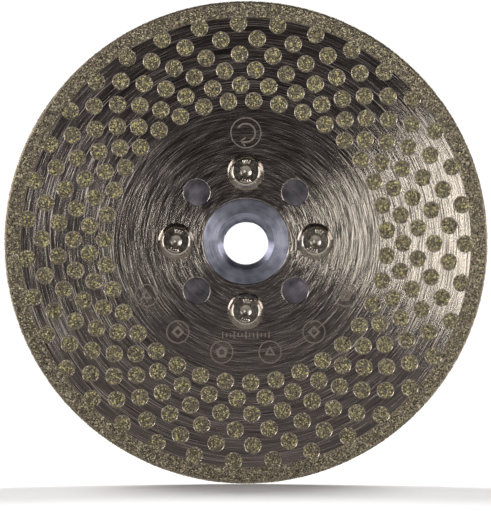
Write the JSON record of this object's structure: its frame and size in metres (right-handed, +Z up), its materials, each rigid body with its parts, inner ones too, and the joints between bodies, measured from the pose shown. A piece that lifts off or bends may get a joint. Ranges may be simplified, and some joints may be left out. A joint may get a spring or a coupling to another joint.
{
  "type": "diamond grinding wheel",
  "caption": "Electroplated diamond cutting and grinding wheel: a flat steel disc with a diamond rim and rings of round pads, screwed to a flange with a spindle thread.",
  "frame": {"origin": "on the wheel's axis, halfway through the thickness of the steel blank; the spindle thread passes through it", "axes": "the axis of rotation lies along Y, with the working face and the screw heads towards -Y and the flange's hub towards +Y; +Z is up and +X is to the right of someone who looks at the working face"},
  "size_m": [0.125, 0.0198, 0.125],
  "materials": {
    "blank_steel": "satin",
    "diamond_grit": "matte",
    "zinc_plate": "satin",
    "nickel_plate": "polished"
  },
  "bodies": {
    "wheel": {"steel_blank": "blank_steel", "diamond_rim": "diamond_grit", "front_pads_ring_1": "diamond_grit", "front_pads_ring_2": "diamond_grit", "front_pads_ring_3": "diamond_grit", "front_pads_ring_4": "diamond_grit", "front_pads_ring_5": "diamond_grit", "back_pads_ring_1": "diamond_grit", "back_pads_ring_2": "diamond_grit", "back_pads_ring_3": "diamond_grit", "back_pads_ring_4": "diamond_grit", "back_pads_ring_5": "diamond_grit", "mounting_flange": "zinc_plate"},
    "screw_right": {"screw_right": "nickel_plate"},
    "screw_top": {"screw_top": "nickel_plate"},
    "screw_left": {"screw_left": "nickel_plate"},
    "screw_bottom": {"screw_bottom": "nickel_plate"}
  },
  "joints": [
    {"name": "screw_right_undo", "type": "slide", "parent": "wheel", "child": "screw_right", "axis": [0, -1, 0], "range_m": [0, 0.004]},
    {"name": "screw_top_undo", "type": "slide", "parent": "wheel", "child": "screw_top", "axis": [0, -1, 0], "range_m": [0, 0.004]},
    {"name": "screw_left_undo", "type": "slide", "parent": "wheel", "child": "screw_left", "axis": [0, -1, 0], "range_m": [0, 0.004]},
    {"name": "screw_bottom_undo", "type": "slide", "parent": "wheel", "child": "screw_bottom", "axis": [0, -1, 0], "range_m": [0, 0.004]}
  ]
}
